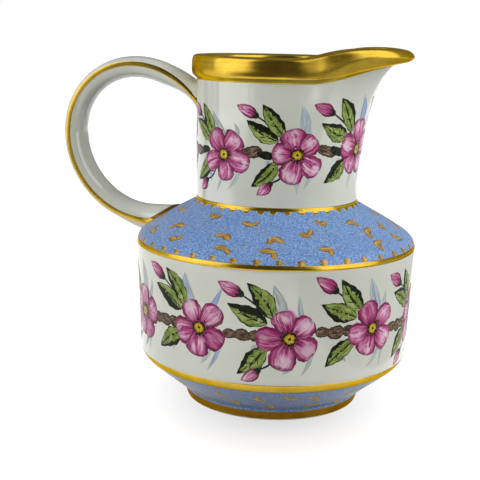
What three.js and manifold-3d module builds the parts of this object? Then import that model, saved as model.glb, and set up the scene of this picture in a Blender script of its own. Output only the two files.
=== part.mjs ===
// Porcelain creamer in millimetres, +Z up, standing on Z = 0 with its spout towards +X, its handle opposite.
// A slip-cast vessel with a pulled spout carries a cast ring handle, luted on at the neck and the shoulder.
// Fired-on coats of gilding and blue ground lie on the glaze as thin bands that follow the wall.
import * as THREE from "three";
import { mergeVertices } from "three/addons/utils/BufferGeometryUtils.js";
import Module from "manifold-3d";

const wasm = await Module();
wasm.setup();

// Stages of the vessel, each a height of its own, stacked from the table up
const FOOT_HEIGHT = 3.4;
const BASE_RISE = 10.4;
const BELLY_HEIGHT = 34.7;
const SHOULDER_RISE = 10;
const NECK_HEIGHT = 34.75;
const BAND_HEIGHT = 6.45;

// Outside radii at the corners between the stages, and how much the belly narrows towards its bottom
const FOOT_RADIUS = 25.2;
const FOOT_TOP_RADIUS = 26.1;
const BELLY_RADIUS = 40.6;
const BELLY_NARROWING = 1.6;
const NECK_RADIUS = 23.3;
const NECK_TOP_RADIUS = 23.8;

// Radii that soften the corners, and the slight crown of the shoulder
const FOOT_ROUND = 0.5;
const BELLY_ROUND = 5;
const SHOULDER_ROUND = 3;
const SHOULDER_CROWN = 0.2;
const NECK_ROUND = 1.6;
const INSIDE_ROUND = 3;

// Wall, floor and foot ring
const WALL = 2.6;
const FLOOR = 3.2;
const FOOT_RING_WIDTH = 2.8;
const FOOT_RECESS = 2;
const FOOT_RECESS_INSET = 0.6;

// Moulded rim band, standing proud of the neck on a short slope
const BAND_PROUD = 1.2;
const BAND_SLOPE_HEIGHT = 0.9;
const RIM_ROUND = 1.3;

// Spout, pulled out of the neck and the rim: a broad flare, a narrower beak that ends in an upright nose, and
// a full lip, with a rim that rises beside it and a band that runs up along it
const SPOUT_DEPTH = 31.7;
const SPOUT_FLARE = 6.2;
const SPOUT_FLARE_CURVE = 1.5;
const SPOUT_FLARE_ANGLE = THREE.MathUtils.degToRad(60);
const SPOUT_BEAK = 5.7;
const SPOUT_BEAK_CURVE = 9.5;
const SPOUT_BEAK_ANGLE = THREE.MathUtils.degToRad(45);
const SPOUT_NOSE_SHARE = 0.975;
const SPOUT_LIP = 1.3;
const SPOUT_RISE_ANGLE = THREE.MathUtils.degToRad(64);
const SPOUT_SIDE_RISE = 2.5;
const SPOUT_TIP_RISE = 1.75;
const SPOUT_BAND_RISE = 5;
const SPOUT_BAND_CURVE = 1.2;

// Handle: an oval ring, stretched along a slant, whose edge line meets the neck and the shoulder at its seats
const HANDLE_DROP = 6.2;
const HANDLE_REACH = 38.1;
const HANDLE_SEAT_INSET = 3.5;
const HANDLE_OVAL_RATIO = 1.054;
const HANDLE_SLANT = THREE.MathUtils.degToRad(51);

// Strap of the handle: a low outer crown, a fuller inner one, a flat along both edges, the shares by which
// it swells outside and thins inside on its way to the neck, the share by which it swells outside at its foot
// on the shoulder, and the root that the wall trims away
const HANDLE_WIDTH = 9.4;
const HANDLE_EDGE = 1.3;
const HANDLE_OUTER_CROWN = 1.3;
const HANDLE_OUTER_FULLNESS = 0.7;
const HANDLE_INNER_CROWN = 3.6;
const HANDLE_INNER_FULLNESS = 0.85;
const HANDLE_SWELL_SHARE = 0.5;
const HANDLE_TAPER_SHARE = 0.5;
const HANDLE_TAPER_LENGTH = 14;
const HANDLE_FOOT_SHARE = 0.9;
const HANDLE_FOOT_LENGTH = 11;
const HANDLE_ROOT = 7;

// Slip that lutes the handle on: its thickness, how far it spreads past the strap, and the clearance kept
const LUTE = 0.6;
const LUTE_SPREAD = 0.8;
const CLEARANCE = 0.3;

// Fired coats: their thickness, the bond under them and the space between two neighbours
const COAT = 0.22;
const COAT_BOND = 0.06;
const COAT_SPACE = 0.15;

// Gilding: each line by its width and its lower edge's distance from the corner that it marks
const FOOT_GILT_CLEAR = 0.4;
const FOOT_GILT_WIDTH = 2.4;
const BELLY_LINE_WIDTH = 2.5;
const BELLY_LINE_DROP = 1.4;
const SHOULDER_LINE_WIDTH = 1.5;
const SHOULDER_LINE_DROP = 2.3;
const NECK_LINE_WIDTH = 1.1;
const NECK_LINE_RISE = 0.2;
const GILT_INSIDE = 4;

// Fineness of the facets
const TURN_STEPS = 40;
const HANDLE_STEPS = 40;
const ARC_STEPS = 24;
const ROUND_STEPS = 3;
const STRAP_STEPS = 6;
const NECK_STEP = 4.2;
const BAND_STEP = 1.5;
const MERGE = 1e-4;

// Most of a straight that curves may take up, and the reach of a cubic that brings its middle to a crown
const CURVE_SHARE = 0.96;
const CROWN_PULL = 4 / 3;

// Heights and radii of the other corners
const BELLY_LOW = FOOT_HEIGHT + BASE_RISE;
const SHOULDER_LOW = BELLY_LOW + BELLY_HEIGHT;
const NECK_LOW = SHOULDER_LOW + SHOULDER_RISE;
const BAND_LOW = NECK_LOW + NECK_HEIGHT;
const RIM_TOP = BAND_LOW + BAND_HEIGHT;
const SPOUT_START = RIM_TOP - SPOUT_DEPTH;
const FLOOR_TOP = FOOT_RECESS + FLOOR;
const BELLY_LOW_RADIUS = BELLY_RADIUS - BELLY_NARROWING;
const BAND_RADIUS = NECK_TOP_RADIUS + BAND_PROUD;
const MOUTH_RADIUS = NECK_TOP_RADIUS - WALL;

const PORCELAIN = { color: 0xe4e3dc, roughness: 0.18, metalness: 0 };
const GOLD = { color: 0xc79b2c, roughness: 0.22, metalness: 1 };
const BLUE_GROUND = { color: 0x7b9bd6, roughness: 0.35, metalness: 0 };

function corner(radius, height, round = 0) {
  return { at: new THREE.Vector2(radius, height), round };
}

// Share of a straight that one end's curve may take: half of it where the other end is rounded too
function freeShare(otherEnd) {
  return otherEnd.round ? CURVE_SHARE / 2 : CURVE_SHARE;
}

// Outline through the corners, with a curve in place of each rounded one, limited by the straights beside it
function outline(corners) {
  const points = [];
  corners.forEach(({ at, round }, index) => {
    const before = corners[index - 1];
    const after = corners[index + 1];
    if (!round || !before || !after) {
      points.push(at.clone());
      return;
    }
    const back = before.at.clone().sub(at);
    const ahead = after.at.clone().sub(at);
    const opening = Math.abs(back.angleTo(ahead));
    const straights = [back.length() * freeShare(before), ahead.length() * freeShare(after)];
    const length = Math.min(round / Math.tan(opening / 2), ...straights);
    const start = at.clone().addScaledVector(back.normalize(), length);
    const end = at.clone().addScaledVector(ahead.normalize(), length);
    points.push(...new THREE.QuadraticBezierCurve(start, at, end).getPoints(ROUND_STEPS));
  });
  return points;
}

// Parallel of an outline, moved to its right hand side, which is the outside of a wall walked upwards
function parallel(points, distance) {
  const normals = points.slice(1).map((point, index) => {
    const along = point.clone().sub(points[index]).normalize();
    return new THREE.Vector2(along.y, -along.x);
  });
  return points.map((point, index) => {
    const first = normals[Math.max(0, index - 1)];
    const second = normals[Math.min(normals.length - 1, index)];
    const miter = first.clone().add(second).divideScalar(1 + first.dot(second));
    return point.clone().addScaledVector(miter, distance);
  });
}

// Where two straights cross, each given by two points
function crossing(a, b, c, d) {
  const first = b.clone().sub(a);
  const second = d.clone().sub(c);
  const share = c.clone().sub(a).cross(second) / first.cross(second);
  return a.clone().addScaledVector(first, share);
}

// Straights above the spout's start are cut into short steps, so that the spout can bend them
function stepped(points) {
  const fine = [points[0]];
  points.slice(1).forEach((point, index) => {
    const start = points[index];
    const inSpout = Math.max(start.y, point.y) > SPOUT_START;
    const inBand = Math.min(start.y, point.y) >= BAND_LOW;
    const length = inBand ? BAND_STEP : NECK_STEP;
    const steps = inSpout ? Math.ceil(start.distanceTo(point) / length) : 1;
    for (let step = 1; step <= steps; step += 1) {
      fine.push(start.clone().lerp(point, step / steps));
    }
  });
  return fine;
}

// Stretch of a rising outline between two heights
function stretch(points, low, high) {
  const at = (height) => {
    const index = points.findIndex((point) => point.y >= height);
    const above = points[index];
    const below = points[index - 1] ?? above;
    const share = above.y === below.y ? 1 : (height - below.y) / (above.y - below.y);
    return below.clone().lerp(above, share);
  };
  return [at(low), ...points.filter((point) => point.y > low && point.y < high), at(high)];
}

const shoulderMiddle = new THREE.Vector2((BELLY_RADIUS + NECK_RADIUS) / 2, (SHOULDER_LOW + NECK_LOW) / 2);
const shoulderNormal = new THREE.Vector2(SHOULDER_RISE, BELLY_RADIUS - NECK_RADIUS).normalize();
const shoulderCrown = shoulderMiddle.addScaledVector(shoulderNormal, SHOULDER_CROWN);

// Outside of the vessel, from its edge on the table to the middle of the rim's top
const outsideCorners = [
  corner(FOOT_RADIUS - FOOT_RING_WIDTH / 2, 0),
  corner(FOOT_RADIUS, 0, FOOT_ROUND),
  corner(FOOT_TOP_RADIUS, FOOT_HEIGHT),
  corner(BELLY_LOW_RADIUS, BELLY_LOW, BELLY_ROUND),
  corner(BELLY_RADIUS, SHOULDER_LOW, SHOULDER_ROUND),
  corner(shoulderCrown.x, shoulderCrown.y),
  corner(NECK_RADIUS, NECK_LOW, NECK_ROUND),
  corner(NECK_TOP_RADIUS, BAND_LOW),
  corner(BAND_RADIUS, BAND_LOW + BAND_SLOPE_HEIGHT),
  corner(BAND_RADIUS, RIM_TOP, RIM_ROUND),
  corner((BAND_RADIUS + MOUTH_RADIUS) / 2, RIM_TOP),
];
const outside = stepped(outline(outsideCorners));
const wall = outside.slice(1);

// Inside of the vessel: the outside's straights moved in by the wall, from the rim down to the floor
function insideCorners() {
  const stages = [
    [FOOT_TOP_RADIUS, FOOT_HEIGHT],
    [BELLY_LOW_RADIUS, BELLY_LOW],
    [BELLY_RADIUS, SHOULDER_LOW],
    [NECK_RADIUS, NECK_LOW],
    [NECK_TOP_RADIUS, RIM_TOP],
  ].map(([radius, height]) => new THREE.Vector2(radius, height));
  const sides = stages.slice(1).map((end, index) => parallel([stages[index], end], -WALL));
  const floorLine = [new THREE.Vector2(0, FLOOR_TOP), new THREE.Vector2(FOOT_TOP_RADIUS, FLOOR_TOP)];
  const rimLine = [new THREE.Vector2(0, RIM_TOP), new THREE.Vector2(BAND_RADIUS, RIM_TOP)];
  const lines = [floorLine, ...sides, rimLine];
  return lines.slice(1).map((line, index) => crossing(...lines[index], ...line));
}
const [floorEdge, bellyBottom, bellyTop, neckBottom, mouth] = insideCorners();
const giltEnd = mouth.clone().lerp(neckBottom, GILT_INSIDE / (mouth.y - neckBottom.y));
const inside = stepped(
  outline([
    corner((BAND_RADIUS + MOUTH_RADIUS) / 2, RIM_TOP),
    corner(mouth.x, mouth.y, RIM_ROUND),
    corner(giltEnd.x, giltEnd.y),
    corner(neckBottom.x, neckBottom.y, INSIDE_ROUND),
    corner(bellyTop.x, bellyTop.y, INSIDE_ROUND),
    corner(bellyBottom.x, bellyBottom.y, INSIDE_ROUND),
    corner(floorEdge.x, floorEdge.y, INSIDE_ROUND),
    corner(0, FLOOR_TOP),
  ]),
);

// Share of the spout's pull at an angle from its middle, falling smoothly to nothing at the half angle
function pullShare(angle, halfAngle) {
  const across = Math.min(1, Math.abs(angle) / halfAngle);
  return Math.cos((across * Math.PI) / 2) ** 2;
}

// Pulls the spout: lifts the rim beside it, draws the band's edge up along it and flares the wall out
function pullSpout(geometry) {
  const position = geometry.attributes.position;
  for (let i = 0; i < position.count; i += 1) {
    const [x, y, z] = [position.getX(i), position.getY(i), position.getZ(i)];
    if (z <= SPOUT_START) continue;
    const angle = Math.atan2(y, x);
    const flareShare = pullShare(angle, SPOUT_FLARE_ANGLE);
    const beakShare = pullShare(angle, SPOUT_BEAK_ANGLE);
    const riseShare = pullShare(angle, SPOUT_RISE_ANGLE);
    const sideShare = 4 * riseShare * (1 - riseShare);
    const topRise = SPOUT_SIDE_RISE * sideShare + SPOUT_TIP_RISE * riseShare ** 2;
    const bandRise = SPOUT_BAND_RISE * flareShare ** SPOUT_BAND_CURVE;
    const inBand = THREE.MathUtils.clamp((z - BAND_LOW) / BAND_HEIGHT, 0, 1);
    const underBand = Math.min(1, (z - SPOUT_START) / (BAND_LOW - SPOUT_START));
    const height = z + THREE.MathUtils.lerp(bandRise * underBand ** 2, topRise, inBand);
    const share = (height - SPOUT_START) / (RIM_TOP + topRise - SPOUT_START);
    const flare = SPOUT_FLARE * flareShare * share ** SPOUT_FLARE_CURVE;
    const toNose = Math.min(1, share / SPOUT_NOSE_SHARE) ** SPOUT_BEAK_CURVE;
    const beak = SPOUT_BEAK * beakShare * Math.sin((toNose * Math.PI) / 2);
    const lip = SPOUT_LIP * beakShare * Math.sin(Math.PI * inBand);
    const radius = Math.hypot(x, y);
    const scale = radius > 0 ? (radius + flare + beak + lip) / radius : 1;
    position.setXYZ(i, x * scale, y * scale, height);
  }
  return geometry;
}

// Turns a profile about the vessel's upright axis and pulls the spout out of it
function turned(profile) {
  const geometry = new THREE.LatheGeometry(profile, TURN_STEPS);
  geometry.rotateX(Math.PI / 2);
  return pullSpout(geometry);
}

function solid(geometry) {
  const bare = geometry.clone();
  bare.deleteAttribute("normal");
  bare.deleteAttribute("uv");
  const merged = mergeVertices(bare, MERGE);
  const vertProperties = Float32Array.from(merged.attributes.position.array);
  const triVerts = Uint32Array.from(merged.index.array);
  return new wasm.Manifold(new wasm.Mesh({ numProp: 3, vertProperties, triVerts }));
}

function geometryOf(body) {
  const { vertProperties, triVerts } = body.getMesh();
  const geometry = new THREE.BufferGeometry();
  geometry.setAttribute("position", new THREE.BufferAttribute(vertProperties, 3));
  geometry.setIndex(new THREE.BufferAttribute(triVerts, 1));
  geometry.computeVertexNormals();
  return geometry;
}

// Vessel: foot ring with its recess, outside, rim and inside in one closed profile
const ringInside = FOOT_RADIUS - FOOT_RING_WIDTH;
const underFoot = [
  new THREE.Vector2(0, FOOT_RECESS),
  new THREE.Vector2(ringInside - FOOT_RECESS_INSET, FOOT_RECESS),
  new THREE.Vector2(ringInside, 0),
];
const vesselProfile = [...underFoot, ...wall, ...inside.slice(1)];

// Thin band that follows a stretch of the wall, from one distance outside it to another
function band(path, near, far) {
  const face = parallel(path, far);
  const back = parallel(path, near).reverse();
  return turned([...face, ...back, face[0]]);
}

function coat(path) {
  return band(path, COAT_BOND, COAT_BOND + COAT);
}

function rimPath() {
  const insideRising = [...inside].reverse();
  const overInside = stretch(insideRising, giltEnd.y, RIM_TOP).reverse();
  return [...stretch(wall, BAND_LOW, RIM_TOP), ...overInside];
}

// Solid that fills the vessel's outside, grown by a distance, to trim what is fitted against it
function envelope(growth) {
  const grown = parallel(outside, growth);
  const foot = new THREE.Vector2(0, grown[0].y);
  const top = new THREE.Vector2(0, grown.at(-1).y);
  return solid(turned([foot, ...grown, top]));
}

// Oval of the handle: what stretches a circle along the slant and narrows it across
const slant = new THREE.Matrix4().makeRotationY(HANDLE_SLANT);
const stretching = new THREE.Vector3(HANDLE_OVAL_RATIO, 1, 1 / HANDLE_OVAL_RATIO);
const oval = slant.clone().scale(stretching).multiply(slant.clone().invert());

function circleThrough(a, b, c) {
  const [first, second] = [[a, b], [b, c]].map(([start, end]) => {
    const middle = start.clone().add(end).divideScalar(2);
    const across = end.clone().sub(start).rotateAround(new THREE.Vector2(), Math.PI / 2);
    return [middle, middle.clone().add(across)];
  });
  const centre = crossing(...first, ...second);
  return { centre, radius: centre.distanceTo(a) };
}

// Where the handle's edge line meets the neck, stands out furthest and meets the shoulder
function handleSeats() {
  const upper = stretch(wall, BAND_LOW - HANDLE_DROP, BAND_LOW)[0];
  const seatRadius = BELLY_RADIUS - HANDLE_SEAT_INSET;
  const shoulder = stretch(wall, SHOULDER_LOW, NECK_LOW);
  const seatIndex = shoulder.findIndex((point) => point.x <= seatRadius);
  const [outer, inner] = [shoulder[seatIndex - 1], shoulder[seatIndex]];
  const lower = outer.clone().lerp(inner, (outer.x - seatRadius) / (outer.x - inner.x));
  const reach = new THREE.Vector2(NECK_TOP_RADIUS + HANDLE_REACH, (upper.y + lower.y) / 2);
  return [upper, reach, lower].map((seat) => new THREE.Vector3(-seat.x, 0, seat.y));
}

// Edge line of the handle, from inside the neck round the oval to its lowest point, then level into the
// shoulder, and the oval's centre
function handlePath() {
  const unstretch = oval.clone().invert();
  const onCircle = handleSeats().map((seat) => seat.applyMatrix4(unstretch));
  const flat = onCircle.map((point) => new THREE.Vector2(point.x, point.z));
  const { centre, radius } = circleThrough(...flat);
  const start = flat[0].clone().sub(centre).angle() - HANDLE_ROOT / radius;
  const low = new THREE.Vector3(0, 0, -1).applyMatrix4(oval.clone().transpose());
  const end = new THREE.Vector2(low.x, low.z).angle();
  const points = [];
  for (let step = 0; step <= ARC_STEPS; step += 1) {
    const angle = THREE.MathUtils.lerp(start, end, step / ARC_STEPS);
    const [x, z] = [centre.x + radius * Math.cos(angle), centre.y + radius * Math.sin(angle)];
    points.push(new THREE.Vector3(x, 0, z).applyMatrix4(oval));
  }
  const lowest = points.at(-1);
  const inward = new THREE.Vector3(HANDLE_ROOT, 0, 0);
  points.push(lowest.clone().add(inward), lowest.clone().addScaledVector(inward, 2));
  const ovalCentre = new THREE.Vector3(centre.x, 0, centre.y).applyMatrix4(oval);
  return [new THREE.CatmullRomCurve3(points), ovalCentre];
}
const [edgeLine, handleCentre] = handlePath();

// Section of the strap about its edge line, across it and away from the handle's centre, grown by a margin
function strapSection(margin) {
  const half = HANDLE_WIDTH / 2 + margin;
  const outer = HANDLE_EDGE / 2 + margin;
  const outerPull = outer + HANDLE_OUTER_CROWN * CROWN_PULL;
  const innerPull = -outer - HANDLE_INNER_CROWN * CROWN_PULL;
  const outerHalf = half * HANDLE_OUTER_FULLNESS;
  const innerHalf = half * HANDLE_INNER_FULLNESS;
  const section = new THREE.Shape();
  section.moveTo(half, outer);
  section.bezierCurveTo(outerHalf, outerPull, -outerHalf, outerPull, -half, outer);
  section.lineTo(-half, -outer);
  section.bezierCurveTo(-innerHalf, innerPull, innerHalf, innerPull, half, -outer);
  section.closePath();
  return section;
}

// Section of the gilded strip on one edge of the strap, on the side given by its sign
function edgeSection(side) {
  const near = HANDLE_WIDTH / 2 + COAT_BOND;
  const strip = [
    [near, -HANDLE_EDGE / 2],
    [near + COAT, -HANDLE_EDGE / 2],
    [near + COAT, HANDLE_EDGE / 2],
    [near, HANDLE_EDGE / 2],
  ];
  return new THREE.Shape(strip.map(([across, away]) => new THREE.Vector2(side * across, away)));
}

// Sweeps a section along the edge line; towards the neck its outer side swells and its inner side thins, and
// towards the shoulder its outer side swells
function sweep(section) {
  const geometry = new THREE.ExtrudeGeometry(section, {
    steps: HANDLE_STEPS,
    curveSegments: STRAP_STEPS,
    bevelEnabled: false,
    extrudePath: edgeLine,
  });
  const stations = edgeLine.getSpacedPoints(HANDLE_STEPS);
  const foot = handleSeats().at(-1);
  const spacing = edgeLine.getLength() / HANDLE_STEPS;
  const position = geometry.attributes.position;
  const point = new THREE.Vector3();
  for (let i = 0; i < position.count; i += 1) {
    point.fromBufferAttribute(position, i);
    const distances = stations.map((station) => station.distanceTo(point));
    const nearest = distances.indexOf(Math.min(...distances));
    const station = stations[nearest];
    const along = nearest * spacing - HANDLE_ROOT;
    const atNeck = 1 - THREE.MathUtils.smoothstep(along, 0, HANDLE_TAPER_LENGTH);
    const atFoot = 1 - THREE.MathUtils.smoothstep(station.distanceTo(foot), 0, HANDLE_FOOT_LENGTH);
    const away = point.clone().sub(station).setY(0);
    const isOuter = away.dot(station.clone().sub(handleCentre)) > 0;
    const swell = HANDLE_SWELL_SHARE * atNeck + HANDLE_FOOT_SHARE * atFoot;
    point.addScaledVector(away, isOuter ? swell : -HANDLE_TAPER_SHARE * atNeck);
    position.setXYZ(i, point.x, point.y, point.z);
  }
  return solid(geometry);
}

// Half of a body above or below the middle of the neck
function half(body, side) {
  const size = 2 * (RIM_TOP + HANDLE_REACH);
  const block = new THREE.BoxGeometry(size, size, size);
  block.translate(0, 0, (NECK_LOW + BAND_LOW + side * size) / 2);
  return body.intersect(solid(block));
}

const luteSeat = envelope(CLEARANCE);
const luteFace = envelope(CLEARANCE + LUTE);
const handleSeat = envelope(CLEARANCE + LUTE + CLEARANCE);
const lutes = sweep(strapSection(LUTE_SPREAD)).intersect(luteFace).subtract(luteSeat);
const jointRoom = sweep(strapSection(LUTE_SPREAD + CLEARANCE));

// Coat with room left for the handle's joint
function coatBesideHandle(path) {
  return geometryOf(solid(coat(path)).subtract(jointRoom));
}

// Gilding over the rim: a deeper band, less the vessel and the bond, so that it fits the spout's twisted wall
function rimGilding() {
  const seat = solid(turned(parallel(vesselProfile, COAT_BOND)));
  const deep = solid(band(rimPath(), -2 * COAT, COAT_BOND + COAT));
  return geometryOf(deep.subtract(seat).subtract(jointRoom));
}

const bellyLine = BELLY_LOW - BELLY_LINE_DROP;
const shoulderLine = SHOULDER_LOW - SHOULDER_LINE_DROP;
const neckLine = NECK_LOW + NECK_LINE_RISE;
const footGiltTop = FOOT_GILT_CLEAR + FOOT_GILT_WIDTH;
const footPath = stretch(wall, FOOT_GILT_CLEAR, footGiltTop);
const bellyLinePath = stretch(wall, bellyLine, bellyLine + BELLY_LINE_WIDTH);
const neckLinePath = stretch(wall, neckLine, neckLine + NECK_LINE_WIDTH);
const baseGroundPath = stretch(wall, footGiltTop + COAT_SPACE, bellyLine - COAT_SPACE);
const shoulderLineTop = shoulderLine + SHOULDER_LINE_WIDTH;
const shoulderLinePath = stretch(wall, shoulderLine, shoulderLineTop);
const shoulderGroundPath = stretch(wall, shoulderLineTop + COAT_SPACE, neckLine - COAT_SPACE);

const creamer = new THREE.Group();

function addPiece(name, geometry, finish) {
  const piece = new THREE.Mesh(geometry, new THREE.MeshStandardMaterial(finish));
  piece.name = name;
  creamer.add(piece);
}

addPiece("vessel_body", turned(vesselProfile), PORCELAIN);
addPiece("handle", geometryOf(sweep(strapSection(0)).subtract(handleSeat)), PORCELAIN);
addPiece("handle_lute_upper", geometryOf(half(lutes, 1)), PORCELAIN);
addPiece("handle_lute_lower", geometryOf(half(lutes, -1)), PORCELAIN);
addPiece("handle_gold_front", geometryOf(sweep(edgeSection(1)).subtract(handleSeat)), GOLD);
addPiece("handle_gold_back", geometryOf(sweep(edgeSection(-1)).subtract(handleSeat)), GOLD);
addPiece("rim_gilding", rimGilding(), GOLD);
addPiece("neck_gold_line", coat(neckLinePath), GOLD);
addPiece("shoulder_blue_ground", coatBesideHandle(shoulderGroundPath), BLUE_GROUND);
addPiece("shoulder_gold_line", coatBesideHandle(shoulderLinePath), GOLD);
addPiece("belly_gold_line", coat(bellyLinePath), GOLD);
addPiece("base_blue_ground", coat(baseGroundPath), BLUE_GROUND);
addPiece("foot_gilding", coat(footPath), GOLD);

// The part's origin is under the middle of its box, on the table
const box = new THREE.Box3().setFromObject(creamer);
creamer.position.x = -(box.min.x + box.max.x) / 2;

export default creamer;
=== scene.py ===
import math

import bpy
import numpy as np
from mathutils import Matrix, Vector


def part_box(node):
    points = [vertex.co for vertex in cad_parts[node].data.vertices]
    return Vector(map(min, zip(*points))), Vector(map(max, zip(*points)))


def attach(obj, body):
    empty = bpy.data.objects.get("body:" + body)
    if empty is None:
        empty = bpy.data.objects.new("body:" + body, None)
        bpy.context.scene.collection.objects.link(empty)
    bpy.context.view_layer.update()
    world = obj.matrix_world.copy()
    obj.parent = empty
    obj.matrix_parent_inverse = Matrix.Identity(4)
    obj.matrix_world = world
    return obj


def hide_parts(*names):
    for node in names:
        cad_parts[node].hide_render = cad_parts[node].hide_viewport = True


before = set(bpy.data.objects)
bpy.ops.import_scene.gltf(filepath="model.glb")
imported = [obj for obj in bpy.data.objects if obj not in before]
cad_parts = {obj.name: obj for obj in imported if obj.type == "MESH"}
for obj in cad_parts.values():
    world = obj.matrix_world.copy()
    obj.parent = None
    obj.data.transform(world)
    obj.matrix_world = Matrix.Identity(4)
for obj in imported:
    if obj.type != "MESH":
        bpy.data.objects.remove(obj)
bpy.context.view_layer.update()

MM = 0.001
RNG = np.random.default_rng(20)

# Sizes of vessel and handle in millimetres, from the part's source, some of them tuned further to the photo
FOOT_HEIGHT, BASE_RISE, BELLY_HEIGHT = 3.4, 10.4, 34.7
SHOULDER_RISE, NECK_HEIGHT, BAND_HEIGHT = 10.0, 34.75, 6.45
FOOT_RADIUS, FOOT_TOP_RADIUS = 25.2, 26.1
BELLY_LOW_RADIUS, BELLY_RADIUS = 39.0, 40.6
NECK_RADIUS, NECK_TOP_RADIUS = 23.3, 23.8
FOOT_ROUND, FOOT_TOP_ROUND = 0.5, 0.8
BELLY_ROUND, SHOULDER_ROUND, SHOULDER_CROWN, NECK_ROUND, INSIDE_ROUND = 5.0, 5.2, 0.2, 1.6, 3.0
WALL, FLOOR = 2.6, 3.2
FOOT_RING_WIDTH, FOOT_RECESS, FOOT_RECESS_INSET = 2.8, 2.0, 0.6
BAND_PROUD, BAND_SLOPE_HEIGHT, BAND_FOOT_ROUND, BAND_LOW_ROUND = 1.2, 1.1, 0.3, 1.2
BAND_BULGE, RIM_ROUND = 0.25, 1.2
SPOUT_DEPTH = 31.7
SPOUT_FLARE, SPOUT_FLARE_CURVE, SPOUT_FLARE_ANGLE = 6.2, 1.5, math.radians(65)
SPOUT_BEAK, SPOUT_BEAK_CURVE, SPOUT_BEAK_ANGLE = 5.0, 8.0, math.radians(54)
SPOUT_NOSE_SHARE, SPOUT_LIP, SPOUT_LIP_CURVE = 0.975, 2.1, 0.65
SPOUT_RISE_ANGLE, SPOUT_SIDE_RISE, SPOUT_TIP_RISE = math.radians(70), 2.1, 2.45
SPOUT_BAND_RISE, SPOUT_BAND_CURVE, SPOUT_BAND_ANGLE = 5.0, 1.2, math.radians(65)
HANDLE_DROP, HANDLE_REACH, HANDLE_SEAT_INSET = 6.2, 38.1, 3.5
HANDLE_OVAL_RATIO, HANDLE_SLANT = 1.054, math.radians(51)
HANDLE_WIDTH, HANDLE_EDGE = 9.4, 1.3
HANDLE_OUTER_CROWN, HANDLE_OUTER_FULLNESS = 1.3, 0.7
HANDLE_INNER_CROWN, HANDLE_INNER_FULLNESS = 3.6, 0.85
HANDLE_SWELL_SHARE, HANDLE_TAPER_SHARE, HANDLE_TAPER_LENGTH = 0.5, 0.5, 14.0
HANDLE_FOOT_SHARE, HANDLE_FOOT_LENGTH = 0.9, 11.0
HANDLE_ROOT = 7.0
GILT_INSIDE = 4.0

BELLY_LOW = FOOT_HEIGHT + BASE_RISE
SHOULDER_LOW = BELLY_LOW + BELLY_HEIGHT
NECK_LOW = SHOULDER_LOW + SHOULDER_RISE
BAND_LOW = NECK_LOW + NECK_HEIGHT
RIM_TOP = BAND_LOW + BAND_HEIGHT
SPOUT_START = RIM_TOP - SPOUT_DEPTH
FLOOR_TOP = FOOT_RECESS + FLOOR
BAND_RADIUS = NECK_TOP_RADIUS + BAND_PROUD
MOUTH_RADIUS = NECK_TOP_RADIUS - WALL
RIM_MIDDLE = (BAND_RADIUS + MOUTH_RADIUS) / 2

# The vessel's upright axis in the part's frame
FOOT_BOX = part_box("foot_gilding")
AXIS_X = (FOOT_BOX[0].x + FOOT_BOX[1].x) / 2

# Fineness
TURN_STEPS, ROUND_STEPS = 288, 10
ROW_LENGTH, UNDER_FOOT_ROWS = 1.35, 3.0
CURVE_SHARE = 0.96
TINY = 1e-6


def outline(corners):
    """Points through corners (radius, height, round), with a curve in place of each rounded one."""
    points = []
    for index, (radius, height, rounding) in enumerate(corners):
        at = np.array([radius, height])
        if not rounding:
            points.append(at)
            continue
        straights = []
        for other in (corners[index - 1], corners[index + 1]):
            share = CURVE_SHARE / 2 if other[2] else CURVE_SHARE
            straights.append((np.array(other[:2]) - at, share))
        (back, back_share), (ahead, ahead_share) = straights
        back_length, ahead_length = np.linalg.norm(back), np.linalg.norm(ahead)
        opening = math.acos(np.clip(back @ ahead / back_length / ahead_length, -1, 1))
        length = min(rounding / math.tan(opening / 2), back_length * back_share, ahead_length * ahead_share)
        start = at + back / back_length * length
        end = at + ahead / ahead_length * length
        for t in np.linspace(0, 1, ROUND_STEPS + 1):
            points.append((1 - t) ** 2 * start + 2 * t * (1 - t) * at + t * t * end)
    return np.array(points)


def in_rows(points, length=ROW_LENGTH):
    """The same line with its long straights cut into rows."""
    fine = [points[0]]
    for start, end in zip(points[:-1], points[1:]):
        steps = max(1, math.ceil(np.linalg.norm(end - start) / length))
        fine.extend(start + (end - start) * step / steps for step in range(1, steps + 1))
    return np.array(fine)


def units(vectors):
    """Vectors brought to a length of one."""
    return vectors / np.linalg.norm(vectors, axis=1, keepdims=True)


def to_right(along):
    """Directions a quarter turn to the right of others."""
    return np.stack([along[:, 1], -along[:, 0]], axis=1)


def outward(points):
    """Outward normals of a line walked upwards along the outside."""
    normals = to_right(units(np.diff(points, axis=0)))
    first = np.vstack([normals[:1], normals])
    second = np.vstack([normals, normals[-1:]])
    return (first + second) / (1 + (first * second).sum(axis=1, keepdims=True))


def crossing(a, b, c, d):
    """Where the line through two points meets the line through two others."""
    first, second = b - a, d - c
    gap = c - a
    share = (gap[0] * second[1] - gap[1] * second[0]) / (first[0] * second[1] - first[1] * second[0])
    return a + first * share


shoulder_normal = np.array([SHOULDER_RISE, BELLY_RADIUS - NECK_RADIUS])
shoulder_normal /= np.linalg.norm(shoulder_normal)
shoulder_middle = np.array([(BELLY_RADIUS + NECK_RADIUS) / 2, (SHOULDER_LOW + NECK_LOW) / 2])
shoulder_middle += shoulder_normal * SHOULDER_CROWN

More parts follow.
